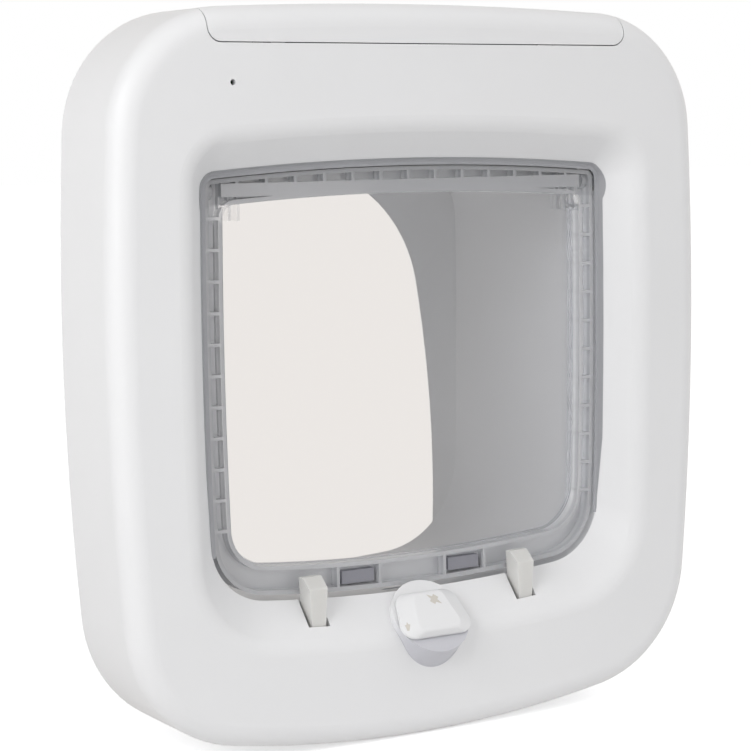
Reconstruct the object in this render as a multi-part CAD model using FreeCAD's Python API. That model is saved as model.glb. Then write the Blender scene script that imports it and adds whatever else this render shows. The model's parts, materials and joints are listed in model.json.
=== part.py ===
import FreeCAD, Part
import math
import os

# Cat flap, inside half: a cased frame with a clear flap, a catch and a turn knob.
# Frame: X to the right, Y into the door, Z up. The door's inner face is y = 0.
# All lengths are millimetres and all angles are degrees.

V = FreeCAD.Vector

# Case outline, seen from the front
case_half_width = 119.0
case_widest_z = 18.0
case_top_z = 127.0
case_bottom_z = -127.6
case_side_bow_radius = 1140.0
case_top_bow_radius = 1600.0
case_bottom_bow_radius = 455.0
case_top_corner = 42.4
case_bottom_corner = 46.6

# Case depth and walls
case_depth = 42.0
case_wall = 2.5
case_front_round = 8.0
case_inner_round = 5.5
plate_thickness = 2.5
plate_recess = 2.0
fit_gap = 0.3
bite = 0.5

# Sloping recess from the front face down to the window
frame_side_width = 27.2
frame_top_height = 41.0
frame_bottom_height = 36.4
funnel_top_corner = 16.0
funnel_bottom_corner = 30.0
funnel_depth = 12.5
funnel_edge_round = 8.0

# Window, where the recess ends
funnel_side_run = 10.35
funnel_top_run = 12.3
funnel_bottom_run = 14.0
window_widest_z = 20.0
window_side_bow_radius = 2000.0
window_top_bow_radius = 950.0
window_bottom_bow_radius = 620.0
window_top_corner = 4.5
window_bottom_corner = 22.0

# Tunnel through the door
tunnel_wall = 2.0
tunnel_front_gap = 0.6
tunnel_mouth_margin = 0.8
tunnel_reach = 64.0
tunnel_side_taper = 1.95
tunnel_top_rise = 1.3
tunnel_bottom_drop = 7.5
tunnel_end_top_corner = 24.0
tunnel_end_bottom_corner = 36.0

# Extension sleeve over the tunnel's outer end
sleeve_overlap = 20.0
sleeve_reach = 80.0
sleeve_wall = 2.0
arch_side_inset = 1.9
arch_widest_rise = 24.7
arch_top_drop = 3.2
arch_bottom_drop = 7.3
arch_side_bow_radius = 484.0
arch_top_bow_radius = 348.0
arch_corner_share = 0.728
arch_bottom_corner = 12.0

# Flap
flap_clearance = 1.8
flap_front_gap = 0.9
flap_thickness = 8.0
flap_web = 2.0
flap_rail = 1.5
flap_side_rim = 6.5
flap_top_rim = 9.0
flap_top_low_rail = 4.5
flap_bottom_rim = 10.0
flap_inner_top_corner = 5.0
flap_inner_bottom_corner = 14.0
flap_rib = 1.1
flap_side_rib_pitch = 10.5
flap_top_rib_pitch = 11.2
flap_pocket_divider_x = (13.5, 30.5)
flap_leg_inset = (13.8, 10.3, 6.8)
flap_leg_height = 8.0
pivot_drop = 7.0
stub_radius = 2.8
stub_length = 8.0
bush_radius = 4.0
bush_length = 6.0
bush_bore_gap = 0.08
bush_boss_wall = 2.5
magnet_length = 13.0
magnet_height = 4.5
magnet_depth = 3.0

# Catch: a fork with two fingers in front of the flap
finger_x = 43.0
finger_width = 7.6
finger_foot_width = 5.4
finger_rise = 9.7
finger_flap_gap = 0.8
finger_depth = 7.2
finger_slope_rise = 6.1
finger_tip_depth = 2.5
finger_foot_drop = 7.1
finger_edge_round = 0.6
finger_slot_gap = 0.4
fork_bar_rise = 21.3
fork_bar_height = 3.5
fork_bar_depth = 6.0
fork_bar_half_width = 60.0
guide_thickness = 1.6
guide_height = 9.0
guide_rise = 35.1

# Push solenoid above the fork's right arm
solenoid_x = 58.0
solenoid_width = 18.0
solenoid_depth = 12.0
solenoid_height = 19.0
solenoid_front_gap = 2.4
solenoid_bar_gap = 2.5
plunger_radius = 2.4
plunger_gap = 0.1
seat_height = 14.0
seat_thickness = 1.6

# Catch springs
spring_x = 52.0
spring_turns = 9
spring_radius = 2.0
spring_wire = 0.45
spring_length = 23.5

# Turn knob on the lower ramp
knob_down_ramp = 12.7
pedestal_radius = 14.6
pedestal_height = 2.6
pedestal_depth = 8.6
knob_upper_width = 23.4
knob_lower_width = 30.4
knob_reach_up = 9.1
knob_reach_down = 8.7
knob_corner = 5.0
knob_side_bevel = 6.0
knob_end_bevel = 1.2
knob_face_corner = 3.0
knob_skirt = 3.9
knob_rise = 6.3
knob_face_round = 1.6
knob_hub_radius = 6.0
knob_hub_depth = 6.0
running_gap = 0.1
spindle_radius = 2.5
cam_depth = 13.4
cam_thickness = 3.0
cam_low_radius = 4.2
cam_lift = 5.8
cam_turn = 270.0
cam_screw_head_radius = 4.2
cam_screw_head = 1.6
cam_screw_radius = 1.2
cam_screw_length = 7.0

# Lock tongue behind the flap
tongue_half_width = 6.0
tongue_thickness = 3.0
tongue_flap_gap = 0.8
tongue_floor_gap = 0.5
tongue_slot_gap = 0.3
tongue_cam_gap = 0.4
tongue_foot_drop = 13.3
tongue_foot_reach = 5.7
tongue_back_height = 20.0
tongue_back_thickness = 1.8

# Battery cover along the top
cover_end_inset = 35.5
cover_height = 13.5
cover_corner = 5.0
cover_gap = 0.35
cover_rear_margin = 4.0
cover_lug_gap = 1.0
cover_lug_width = 4.0
cover_lug_drop = 3.0
cover_lug_thickness = 1.5

# Battery tray with four AA cells in two rows
cell_radius = 7.1
cell_length = 49.5
cell_tip_radius = 2.7
cell_tip_length = 1.0
cell_row_pitch = 15.6
cell_floor_gap = 0.2
contact_thickness = 0.5
contact_height = 6.5
tray_wall = 1.6
tray_floor_drop = 21.0
tray_rim_drop = 14.0
shelf_x = 35.0
shelf_reach = 24.0
shelf_tip = 2.0
shelf_root = 8.0

# Circuit board behind the top of the front face
board_left_inset = 36.0
board_right_margin = 8.0
board_bottom_drop = 35.5
board_top_drop = 23.0
board_thickness = 1.6
board_stand_off = 3.0
board_post_radius = 2.4
board_post_x = (-60.0, -10.0, 45.0)
led_inset = 44.2
led_drop = 26.6
led_hole_radius = 1.0
led_radius = 1.6
led_wall_gap = 0.2
chip_height = 1.5
chip_places = ((-45.0, 9.0, 9.0), (-20.0, 6.0, 5.0), (5.0, 8.0, 6.0), (30.0, 5.0, 8.0))
button_tray_gap = 8.6
button_switch_size = 6.0
button_switch_height = 3.0
button_radius = 1.7
button_rise = 2.5
button_sink = 1.6

# Aerial coil wound on a former round the tunnel
former_front = 29.0
former_width = 8.5
former_wall = 1.2
former_height = 5.0
former_gap = 0.9
coil_fill = 1.8

# Screws and bosses
case_screw_side_inset = 13.0
case_screw_corner_inset = 27.0
case_screw_end_inset = 35.3
case_boss_radius = 4.0
case_screw_radius = 1.3
case_screw_length = 12.0
case_screw_head_radius = 2.8
case_screw_head = 1.8
case_screw_hole_gap = 0.3
mount_side_inset = 18.5
mount_half_spacing_z = 58.0
mount_hole_radius = 1.9
mount_boss_radius = 5.0
mount_boss_length = 15.0
mount_hole_depth = 16.0
gasket_inner_gap = 1.5
gasket_width = 9.0

# Places that follow from the sizes above
front_y = -case_depth
lip_y = front_y + funnel_depth
inner_front_y = front_y + case_wall
funnel_half_width = case_half_width - frame_side_width
funnel_top_z = case_top_z - frame_top_height
funnel_bottom_z = case_bottom_z + frame_bottom_height
window_half_width = funnel_half_width - funnel_side_run
window_top_z = funnel_top_z - funnel_top_run
window_bottom_z = funnel_bottom_z + funnel_bottom_run
tunnel_end_half_width = window_half_width - tunnel_side_taper
tunnel_end_top_z = window_top_z + tunnel_top_rise
tunnel_end_bottom_z = window_bottom_z - tunnel_bottom_drop
arch_half_width = tunnel_end_half_width - arch_side_inset
arch_widest_z = tunnel_end_bottom_z + arch_widest_rise
arch_top_z = window_top_z - arch_top_drop
arch_bottom_z = tunnel_end_bottom_z - arch_bottom_drop
arch_top_corner = arch_half_width * arch_corner_share
cover_half_width = case_half_width - cover_end_inset
cover_seam_z = case_top_z - cover_height
tray_floor_z = case_top_z - tray_floor_drop
tray_rim_z = case_top_z - tray_rim_drop
tray_half_length = cell_length + cell_tip_length + 2 * contact_thickness + fit_gap
mount_half_spacing_x = case_half_width - mount_side_inset
button_x = tray_half_length + tray_wall + button_tray_gap
board_left_x = board_left_inset - case_half_width
board_right_x = button_x + board_right_margin
board_bottom_z = case_top_z - board_bottom_drop
board_top_z = case_top_z - board_top_drop
led_x = led_inset - case_half_width
led_z = case_top_z - led_drop
finger_top_z = window_bottom_z + finger_rise
finger_slope_z = window_bottom_z + finger_slope_rise
finger_foot_z = window_bottom_z - finger_foot_drop
fork_bar_top_z = case_bottom_z + fork_bar_rise
guide_top_z = case_bottom_z + guide_rise
tongue_foot_top_z = window_bottom_z - tongue_foot_drop
plate_rear_y = -plate_recess
plate_front_y = plate_rear_y - plate_thickness
tunnel_front_y = lip_y + tunnel_front_gap
flap_front_y = lip_y + flap_front_gap
flap_rear_y = flap_front_y + flap_thickness
pivot_y = flap_front_y + flap_thickness / 2
flap_top_z = window_top_z - flap_clearance
flap_bottom_z = window_bottom_z + flap_clearance
flap_half_width = window_half_width - flap_clearance
pivot_z = flap_top_z - pivot_drop
finger_rear_y = flap_front_y - finger_flap_gap
finger_front_y = finger_rear_y - finger_depth
fork_bar_bottom_z = fork_bar_top_z - fork_bar_height
spindle_depth = cam_depth + cam_thickness
big = 400.0


class Outline:
    """A closed outline of four shallow arcs with round corners, symmetric about x = 0."""

    def __init__(self, half, side_z, top, bottom, bows, corners):
        self.half, self.side_z = half, side_z
        self.top, self.bottom = top, bottom
        self.side_r, self.top_r, self.bottom_r = bows
        self.top_corner, self.bottom_corner = corners

    def grown(self, d):
        """The same outline with every point moved outward by d."""
        bows = (self.side_r + d, self.top_r + d, self.bottom_r + d)
        corners = (self.top_corner + d, self.bottom_corner + d)
        return Outline(self.half + d, self.side_z, self.top + d, self.bottom - d, bows, corners)

    def toward(self, other, share):
        """An outline part of the way from this one to another."""
        def mix(a, b):
            return a + (b - a) * share
        bows = (mix(self.side_r, other.side_r), mix(self.top_r, other.top_r),
                mix(self.bottom_r, other.bottom_r))
        corners = (mix(self.top_corner, other.top_corner),
                   mix(self.bottom_corner, other.bottom_corner))
        return Outline(mix(self.half, other.half), mix(self.side_z, other.side_z),
                       mix(self.top, other.top), mix(self.bottom, other.bottom), bows, corners)

    def wire(self, y):
        """The outline as eight arcs in the plane at y."""
        sides = [(V(0, 0, self.top - self.top_r), self.top_r),
                 (V(self.half - self.side_r, 0, self.side_z), self.side_r),
                 (V(0, 0, self.bottom + self.bottom_r), self.bottom_r),
                 (V(self.side_r - self.half, 0, self.side_z), self.side_r)]
        turns = [(self.top_corner, V(1, 0, 1)), (self.bottom_corner, V(1, 0, -1)),
                 (self.bottom_corner, V(-1, 0, -1)), (self.top_corner, V(-1, 0, 1))]
        ends = []
        corners = []
        for k, (r, way) in enumerate(turns):
            (c1, r1), (c2, r2) = sides[k], sides[(k + 1) % 4]
            centre = circles_meet(c1, r1 - r, c2, r2 - r, way)
            first = on_circle(c1, r1, centre)
            second = on_circle(c2, r2, centre)
            corners.append((centre, r, first, second))
            ends.append((first, second))
        edges = []
        for k in range(4):
            centre, radius = sides[k]
            start, stop = ends[k - 1][1], ends[k][0]
            edges.append(arc_edge(start, on_circle(centre, radius, (start + stop) * 0.5), stop, y))
            centre, radius, start, stop = corners[k]
            edges.append(arc_edge(start, on_circle(centre, radius, (start + stop) * 0.5), stop, y))
        return Part.Wire(edges)


def circles_meet(c1, r1, c2, r2, way):
    """Where two circles in the XZ plane cross, on the side that way points to."""
    across = c2 - c1
    distance = across.Length
    along = (r1 * r1 - r2 * r2 + distance * distance) / (2 * distance)
    rise = math.sqrt(r1 * r1 - along * along)
    unit = across * (1 / distance)
    normal = V(-unit.z, 0, unit.x)
    foot = c1 + unit * along
    return max(foot + normal * rise, foot - normal * rise, key=lambda p: p.dot(way))


def on_circle(centre, radius, point):
    """The point of a circle that lies toward another point."""
    ray = point - centre
    return centre + ray * (radius / ray.Length)


def arc_edge(a, b, c, y):
    shift = V(0, y, 0)
    return Part.Arc(a + shift, b + shift, c + shift).toShape()


def prism(outline, y0, y1):
    return Part.Face(outline.wire(y0)).extrude(V(0, y1 - y0, 0))


def loft(first, y0, last, y1):
    return Part.makeLoft([first.wire(y0), last.wire(y1)], True, True)


def box(x0, x1, y0, y1, z0, z1):
    return Part.makeBox(x1 - x0, y1 - y0, z1 - z0, V(x0, y0, z0))


def rod(radius, start, end):
    run = end - start
    return Part.makeCylinder(radius, run.Length, start, run)


def profile_x(points, x0, x1):
    """A solid with a straight-sided YZ profile, from x0 to x1."""
    corners = [V(x0, y, z) for y, z in points]
    face = Part.Face(Part.makePolygon(corners + corners[:1]))
    return face.extrude(V(x1 - x0, 0, 0))


def joined(shapes):
    shapes = list(shapes)
    whole = shapes[0].multiFuse(shapes[1:]) if len(shapes) > 1 else shapes[0]
    return whole.removeSplitter()


def both_sides(shape):
    return [shape, shape.mirror(V(0, 0, 0), V(1, 0, 0))]


def edges_at_y(shape, y, reach=big):
    """Edges that lie in the plane at y and within reach of the middle."""
    found = []
    for edge in shape.Edges:
        limits = edge.BoundBox
        flat = abs(limits.YMin - y) < 0.01 and abs(limits.YMax - y) < 0.01
        if flat and max(abs(limits.XMin), abs(limits.XMax)) < reach:
            found.append(edge)
    return found


CASE = Outline(case_half_width, case_widest_z, case_top_z, case_bottom_z,
               (case_side_bow_radius, case_top_bow_radius, case_bottom_bow_radius),
               (case_top_corner, case_bottom_corner))
WINDOW_BOWS = (window_side_bow_radius, window_top_bow_radius, window_bottom_bow_radius)
FUNNEL = Outline(funnel_half_width, window_widest_z, funnel_top_z, funnel_bottom_z,
                 WINDOW_BOWS, (funnel_top_corner, funnel_bottom_corner))
WINDOW = Outline(window_half_width, window_widest_z, window_top_z, window_bottom_z,
                 WINDOW_BOWS, (window_top_corner, window_bottom_corner))
MOUTH = WINDOW.grown(tunnel_mouth_margin)
TUNNEL_END = Outline(tunnel_end_half_width, window_widest_z, tunnel_end_top_z,
                     tunnel_end_bottom_z, WINDOW_BOWS,
                     (tunnel_end_top_corner, tunnel_end_bottom_corner))
ARCH = Outline(arch_half_width, arch_widest_z, arch_top_z, arch_bottom_z,
               (arch_side_bow_radius, arch_top_bow_radius, window_bottom_bow_radius),
               (arch_top_corner, arch_bottom_corner))
FLAP = WINDOW.grown(-flap_clearance)
FLAP_INNER = Outline(flap_half_width - flap_side_rim, window_widest_z,
                     flap_top_z - flap_top_rim, flap_bottom_z + flap_bottom_rim, WINDOW_BOWS,
                     (flap_inner_top_corner, flap_inner_bottom_corner))


def passage(y):
    """The tunnel's inner outline at y, carried on past its end."""
    share = (y - tunnel_front_y) / (tunnel_reach - tunnel_front_y)
    return MOUTH.toward(TUNNEL_END, share)


# Knob frame: out of the ramp, up the ramp, and the point where the axis crosses the ramp
ramp_run = V(0, funnel_depth, window_bottom_z - funnel_bottom_z)
ramp_up = ramp_run * (1 / ramp_run.Length)
ramp_out = V(0, -ramp_up.z, ramp_up.y)
ramp_top = V(0, lip_y, window_bottom_z)
knob_base = ramp_top - ramp_up * knob_down_ramp
cam_centre = knob_base - ramp_out * (cam_depth + cam_thickness / 2)


def on_knob(x, up, out):
    """A point given along X, up the ramp and out of the ramp from the knob's centre."""
    return knob_base + V(x, 0, 0) + ramp_up * up + ramp_out * out


def case_body():
    """The case as one closed block with its soft front edge."""
    block = prism(CASE, front_y, 0)
    return block.makeFillet(case_front_round, edges_at_y(block, front_y))


def case_hollow():
    block = prism(CASE.grown(-case_wall), inner_front_y, big)
    return block.makeFillet(case_inner_round, edges_at_y(block, inner_front_y))


def cover_region(gap):
    """The block that the battery cover takes from the case, grown by gap."""
    low = cover_seam_z - gap
    half = cover_half_width + gap
    rear = -cover_rear_margin + gap
    block = box(-half, half, front_y - case_wall, rear, low, case_top_z + case_wall)
    low_edges = [e for e in block.Edges
                 if abs(e.BoundBox.ZMax - low) < 0.01 and e.BoundBox.YLength > case_wall]
    return block.makeFillet(cover_corner, low_edges)


def knob_pedestal():
    """Round drum that stands on the ramp under the knob, hollow from behind."""
    drum = rod(pedestal_radius, on_knob(0, 0, -pedestal_depth), on_knob(0, 0, pedestal_height))
    return drum.common(box(-big, big, -big, lip_y, -big, big))


def pedestal_hollow():
    return rod(pedestal_radius - case_wall, on_knob(0, 0, -2 * pedestal_depth),
               on_knob(0, 0, -case_wall))


def finger_slot():
    half = finger_width / 2 + finger_slot_gap
    return box(finger_x - half, finger_x + half, finger_front_y - finger_slot_gap,
               tunnel_front_y, funnel_bottom_z - case_wall * 2, finger_slope_z)


def case_screw_spots():
    """Two screws half way up the sides and one near each corner."""
    for side in (1, -1):
        yield V(side * (case_half_width - case_screw_side_inset), 0, 0)
        corner_x = side * (case_half_width - case_screw_corner_inset)
        yield V(corner_x, 0, case_bottom_z + case_screw_end_inset)
        yield V(corner_x, 0, case_top_z - case_screw_end_inset)


def front_cover():
    """Front shell with the sloping recess, knob seat, finger slots and battery opening."""
    shell = case_body().cut(case_hollow())
    shell = shell.fuse(loft(FUNNEL.grown(case_wall), front_y, WINDOW.grown(case_wall), lip_y))
    shell = shell.cut(loft(FUNNEL, front_y, WINDOW, lip_y)).removeSplitter()
    mouth_edges = edges_at_y(shell, front_y, funnel_half_width + case_wall)
    shell = shell.makeFillet(funnel_edge_round, mouth_edges)
    adds = [knob_pedestal()]
    for spot in case_screw_spots():
        adds.append(rod(case_boss_radius, spot + V(0, inner_front_y - bite, 0),
                        spot + V(0, plate_front_y, 0)))
    for x in board_post_x:
        spot = V(x, inner_front_y, (board_bottom_z + board_top_z) / 2)
        adds.append(rod(board_post_radius, spot - V(0, bite, 0), spot + V(0, board_stand_off, 0)))
    shell = joined([shell] + adds)
    cuts = [cover_region(cover_gap), pedestal_hollow()] + both_sides(finger_slot())
    hub = knob_hub_radius + running_gap
    cuts.append(rod(hub, on_knob(0, 0, -2 * knob_hub_depth), on_knob(0, 0, knob_hub_depth)))
    cuts.append(rod(led_hole_radius, V(led_x, front_y - 1, led_z), V(led_x, lip_y, led_z)))
    for spot in case_screw_spots():
        cuts.append(rod(case_screw_radius, spot + V(0, plate_rear_y - case_screw_length, 0), spot))
    for cut in cuts:
        shell = shell.cut(cut)
    return shell


def battery_cover():
    """Lid that wraps the top of the case, with two lugs behind the front face."""
    lid = case_body().cut(case_hollow()).common(cover_region(0))
    x0 = tray_half_length + tray_wall + cover_lug_gap
    y0 = inner_front_y + fit_gap
    lug = box(x0, x0 + cover_lug_width, y0, y0 + cover_lug_thickness,
              cover_seam_z - cover_lug_drop, cover_seam_z + 2 * cover_lug_drop)
    bridge = box(x0, x0 + cover_lug_width, inner_front_y - bite, y0 + cover_lug_thickness,
                 cover_seam_z + cover_lug_drop, cover_seam_z + 2 * cover_lug_drop)
    return joined([lid] + both_sides(lug) + both_sides(bridge))


def tunnel_tube():
    outer = loft(passage(tunnel_front_y).grown(tunnel_wall), tunnel_front_y,
                 TUNNEL_END.grown(tunnel_wall), tunnel_reach)
    return outer.cut(loft(passage(tunnel_front_y), tunnel_front_y, TUNNEL_END, tunnel_reach))


def pivot_boss():
    """Round seat outside the tunnel's wall that carries a bush."""
    radius = bush_radius + bush_boss_wall
    start = V(window_half_width + tunnel_mouth_margin + tunnel_wall / 2, pivot_y, pivot_z)
    end = V(window_half_width + tunnel_mouth_margin + bush_length, pivot_y, pivot_z)
    boss = rod(radius, start, end)
    return boss.common(box(-big, big, tunnel_front_y, big, -big, big))


def bush_start_x():
    return window_half_width + tunnel_mouth_margin - 0.2


def fork_guides():
    """Two fins each side of a finger's column, standing on the rear plate."""
    fins = []
    for side in (-1, 1):
        inner = finger_x + side * (finger_foot_width / 2 + fit_gap)
        outer = inner + side * guide_thickness
        fins.append(box(min(inner, outer), max(inner, outer), finger_rear_y - finger_depth / 2,
                        plate_front_y + bite, guide_top_z - guide_height, guide_top_z))
    return fins


def tongue_front_y():
    return flap_rear_y + tongue_flap_gap


def tongue_rear_y():
    return tongue_front_y() + tongue_thickness


def floor_z(y):
    return passage(y).bottom


def tongue_back():
    """Wall under the tunnel's floor that the tongue slides against."""
    y0 = tongue_rear_y() + tongue_slot_gap
    top = floor_z(y0) - tunnel_wall / 2
    return box(-tongue_half_width, tongue_half_width, y0, y0 + tongue_back_thickness,
               top - tongue_back_height, top)


def tongue_slot():
    half = tongue_half_width + tongue_slot_gap
    y0, y1 = tongue_front_y() - tongue_slot_gap, tongue_rear_y() + tongue_slot_gap
    return box(-half, half, y0, y1, floor_z(y1) - 3 * tunnel_wall, floor_z(y0) + tunnel_wall)


def mount_spots():
    for x in (-mount_half_spacing_x, mount_half_spacing_x):
        for z in (-mount_half_spacing_z, mount_half_spacing_z):
            yield V(x, 0, z)


def solenoid_seat():
    """A flat pad on two ribs that the solenoid is fixed to."""
    half = solenoid_width / 2
    z0 = fork_bar_top_z + solenoid_bar_gap
    z1 = z0 + seat_height
    y0 = solenoid_centre_y() + solenoid_depth / 2
    pad = box(solenoid_x - half, solenoid_x + half, y0, y0 + seat_thickness, z0, z1)
    ribs = [box(x, x + seat_thickness, y0, plate_front_y + bite, z0, z1)
            for x in (solenoid_x - half, solenoid_x + half - seat_thickness)]
    return [pad] + ribs


def tray_shelves():
    """Two brackets on the rear plate that the battery tray rests on."""
    points = [(plate_front_y + bite, tray_floor_z), (plate_front_y - shelf_reach, tray_floor_z),
              (plate_front_y - shelf_reach, tray_floor_z - shelf_tip),
              (plate_front_y + bite, tray_floor_z - shelf_root)]
    return both_sides(profile_x(points, shelf_x, shelf_x + guide_thickness))


def rear_housing():
    """Rear plate with the tunnel, hinge seats, screw bosses and the catch's guides."""
    plate = prism(CASE.grown(-case_wall - fit_gap), plate_front_y, plate_rear_y)
    plate = plate.cut(prism(passage(plate_front_y).grown(tunnel_wall / 2), -big, big))
    parts = [plate, tunnel_tube()] + both_sides(pivot_boss())
    for fin in fork_guides():
        parts += both_sides(fin)
    parts.append(tongue_back())
    for spot in mount_spots():
        start = spot + V(0, plate_front_y - mount_boss_length, 0)
        parts.append(rod(mount_boss_radius, start, spot))
    parts += solenoid_seat() + tray_shelves()
    body = joined(parts)
    hole = rod(bush_radius, V(flap_half_width, pivot_y, pivot_z), V(big, pivot_y, pivot_z))
    cuts = both_sides(hole) + [tongue_slot()]
    for spot in mount_spots():
        cuts.append(rod(mount_hole_radius, spot - V(0, mount_hole_depth, 0), spot))
    for spot in case_screw_spots():
        cuts.append(rod(case_screw_radius + case_screw_hole_gap,
                        spot + V(0, plate_front_y - 1, 0), spot))
    for cut in cuts:
        body = body.cut(cut)
    return body


def tunnel_extension():
    """Sleeve that slides over the tunnel's end and narrows to an arched opening."""
    start = tunnel_reach - sleeve_overlap
    inner_margin = tunnel_wall + fit_gap

    def flare(margin, arch_margin):
        near, middle = passage(start).grown(margin), passage(tunnel_reach).grown(margin)
        straight = loft(near, start, middle, tunnel_reach)
        return straight.fuse(loft(middle, tunnel_reach, ARCH.grown(arch_margin), sleeve_reach))

    return flare(inner_margin + sleeve_wall, sleeve_wall).cut(flare(inner_margin, 0))


def mounting_gasket():
    ring = passage(plate_rear_y).grown(tunnel_wall + gasket_inner_gap)
    return prism(ring.grown(gasket_width), plate_rear_y, 0).cut(prism(ring, -big, big))


def ring(outline, y0, y1, inner, outer):
    return prism(outline.grown(outer), y0, y1).cut(prism(outline.grown(inner), y0, y1))


def former_outline():
    return passage(front_y + former_front + former_width).grown(tunnel_wall + former_gap)


def coil_former():
    """Channel-shaped bobbin that slips over the tunnel inside the case."""
    y0 = front_y + former_front
    y1 = y0 + former_width
    base = ring(former_outline(), y0, y1, 0, former_wall)
    front = ring(former_outline(), y0, y0 + former_wall, 0, former_height)
    rear = ring(former_outline(), y1 - former_wall, y1, 0, former_height)
    return joined([base, front, rear])


def antenna_coil():
    y0 = front_y + former_front + former_wall
    y1 = y0 + former_width - 2 * former_wall
    return ring(former_outline(), y0, y1, former_wall, former_wall + coil_fill)


def flap_side_ribs():
    """Cross ribs between the two rails down each side."""
    outer_x = flap_half_width - flap_rail / 2
    inner_x = flap_half_width - flap_side_rim + flap_rail / 2
    top = pivot_z - flap_top_rim
    bottom = flap_bottom_z + window_bottom_corner
    count = int((top - bottom) // flap_side_rib_pitch)
    for k in range(count + 1):
        z = top - k * flap_side_rib_pitch
        yield box(inner_x - flap_rail, outer_x, flap_front_y, flap_rear_y,
                  z - flap_rib / 2, z + flap_rib / 2)


def flap_top_ribs():
    """Upright ribs along the pivot bar."""
    count = int((flap_half_width - flap_side_rim) // flap_top_rib_pitch)
    for k in range(-count, count + 1):
        x = k * flap_top_rib_pitch
        yield box(x - flap_rib / 2, x + flap_rib / 2, flap_front_y, flap_rear_y,
                  flap_top_z - flap_top_rim, flap_top_z)


def flap_pocket_walls():
    """Dividers of the pockets in the bottom rim."""
    for x in flap_pocket_divider_x:
        yield box(x - flap_rib / 2, x + flap_rib / 2, flap_front_y, flap_rear_y,
                  flap_bottom_z, flap_bottom_z + flap_bottom_rim)


def flap_legs():
    """Short stiffening bars below each end of the pivot bar."""
    top = flap_top_z - flap_top_rim
    for inset in flap_leg_inset:
        x = flap_half_width - inset
        yield box(x - flap_rib / 2, x + flap_rib / 2, flap_front_y + flap_thickness / 4,
                  flap_rear_y, top - flap_leg_height, top)


def flap_panel():
    """Clear moulding: a thin web inside a rim of two rails tied by ribs."""
    body = prism(FLAP, flap_front_y, flap_rear_y)
    web_rear = flap_rear_y - flap_thickness / 4
    web_front = web_rear - flap_web
    channel = prism(FLAP.grown(-flap_rail), flap_front_y, flap_rear_y)
    channel = channel.cut(prism(FLAP_INNER.grown(flap_rail), flap_front_y, flap_rear_y))
    low_rail_z = flap_top_z - flap_top_rim
    channel = channel.cut(box(-FLAP_INNER.half, FLAP_INNER.half, flap_front_y, flap_rear_y,
                              low_rail_z, low_rail_z + flap_top_low_rail))
    well = prism(FLAP_INNER, flap_front_y, flap_rear_y)
    hollow = channel.fuse(well).cut(box(-big, big, web_front, web_rear, -big, big))
    ribs = []
    for rib in flap_side_ribs():
        ribs += both_sides(rib)
    for rib in flap_pocket_walls():
        ribs += both_sides(rib)
    ribs += list(flap_top_ribs())
    hollow = hollow.cut(Part.makeCompound([r.common(channel) for r in ribs]))
    body = body.cut(hollow)
    extra = []
    for leg in flap_legs():
        extra += both_sides(leg)
    stub = rod(stub_radius, V(flap_half_width - stub_length / 2, pivot_y, pivot_z),
               V(bush_start_x() + bush_length - 1, pivot_y, pivot_z))
    return joined([body] + extra + both_sides(stub))


def flap_magnets():
    """Two bar magnets in the bottom rim's outer pockets."""
    x0, x1 = flap_pocket_divider_x
    middle = (x0 + x1) / 2
    web_front = flap_rear_y - flap_thickness / 4 - flap_web
    z0 = flap_bottom_z + flap_bottom_rim / 2 - magnet_height / 2
    bar = box(middle - magnet_length / 2, middle + magnet_length / 2,
              web_front - magnet_depth, web_front, z0, z0 + magnet_height)
    return both_sides(bar)


def sill_magnets():
    """Two bar magnets under the tunnel's floor, below those of the flap."""
    x0, x1 = flap_pocket_divider_x
    middle = (x0 + x1) / 2
    top = floor_z(flap_rear_y) - tunnel_wall - fit_gap
    bar = box(middle - magnet_length / 2, middle + magnet_length / 2,
              tunnel_front_y, tunnel_front_y + magnet_height, top - magnet_depth, top)
    return both_sides(bar)


def pivot_bush(side):
    x0 = bush_start_x()
    bush = rod(bush_radius, V(x0, pivot_y, pivot_z), V(x0 + bush_length, pivot_y, pivot_z))
    bore = rod(stub_radius + bush_bore_gap, V(x0 - 1, pivot_y, pivot_z),
               V(x0 + bush_length - 1 + fit_gap, pivot_y, pivot_z))
    bush = bush.cut(bore)
    return both_sides(bush)[0 if side > 0 else 1]


def finger_column():
    """One finger: a blade with a sloping top that narrows toward its foot."""
    points = [(finger_rear_y, finger_top_z), (finger_rear_y - finger_tip_depth, finger_top_z),
              (finger_front_y, finger_slope_z), (finger_front_y, fork_bar_bottom_z),
              (finger_rear_y, fork_bar_bottom_z)]
    half, foot = finger_width / 2, finger_foot_width / 2
    blade = profile_x(points, finger_x - half, finger_x + half)
    edge = [V(finger_x + x, finger_front_y, z)
            for x, z in ((-half, finger_top_z), (half, finger_top_z), (foot, finger_foot_z),
                         (foot, fork_bar_bottom_z), (-foot, fork_bar_bottom_z),
                         (-foot, finger_foot_z))]
    taper = Part.Face(Part.makePolygon(edge + edge[:1])).extrude(V(0, finger_depth, 0))
    column = blade.common(taper)
    rounded = [e for e in column.Edges if e.BoundBox.XLength > finger_foot_width
               and e.BoundBox.ZMin > finger_foot_z + 1]
    return column.makeFillet(finger_edge_round, rounded)


def latch_fork():
    """Two sloped fingers on a cross bar, with an arm out to the solenoid."""
    bar_front = finger_rear_y - fork_bar_depth
    bar = box(-fork_bar_half_width, fork_bar_half_width, bar_front, finger_rear_y,
              fork_bar_bottom_z, fork_bar_top_z)
    arm = box(solenoid_x - finger_width, fork_bar_half_width + 2, bar_front,
              solenoid_centre_y() + plunger_radius, fork_bar_bottom_z, fork_bar_top_z)
    return joined(both_sides(finger_column()) + [bar, arm])


def solenoid_centre_y():
    return finger_rear_y + solenoid_front_gap + solenoid_depth / 2


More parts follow.
